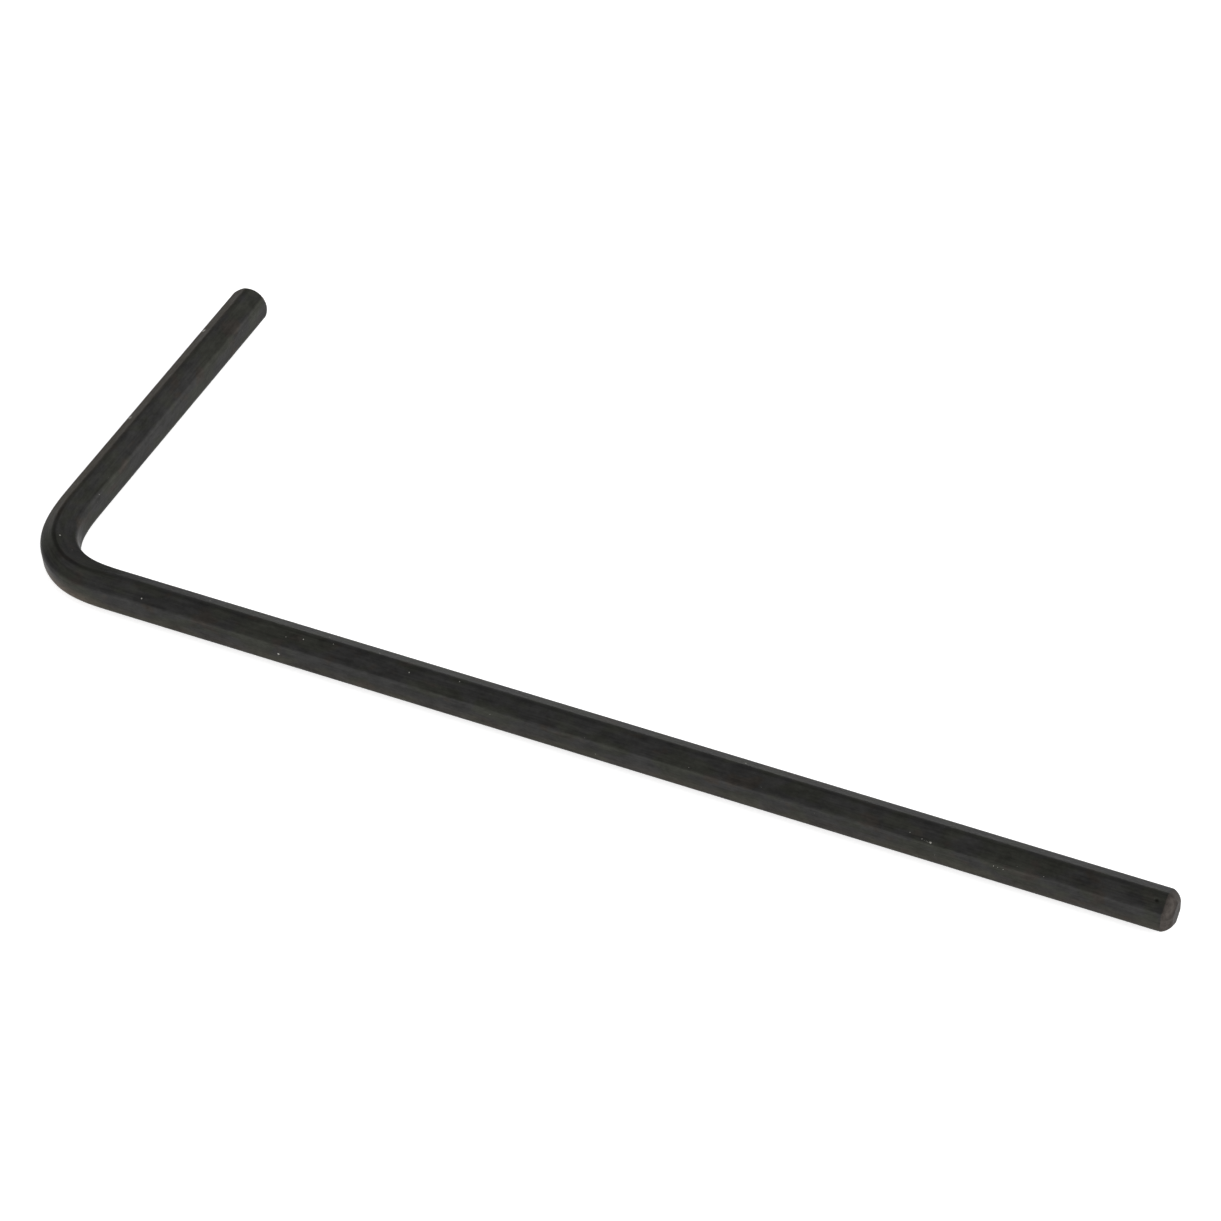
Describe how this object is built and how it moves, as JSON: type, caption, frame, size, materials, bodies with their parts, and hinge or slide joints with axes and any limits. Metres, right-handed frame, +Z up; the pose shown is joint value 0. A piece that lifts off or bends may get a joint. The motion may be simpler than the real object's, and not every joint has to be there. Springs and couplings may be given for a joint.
{
  "type": "hex key",
  "caption": "Small L-shaped hex key, bent from one length of hexagonal steel wire, with a long arm, a short arm and chamfered ends.",
  "frame": {"origin": "middle of the key's own outline, on the plane it rests on", "axes": "+X along the long arm towards its free end, +Y along the short arm towards its free end, +Z up"},
  "size_m": [0.0474, 0.0193, 0.0016],
  "materials": {
    "black_oxide_steel": "satin black oxide over drawn steel"
  },
  "bodies": {
    "root": {"hex_key": "black_oxide_steel"}
  },
  "joints": []
}
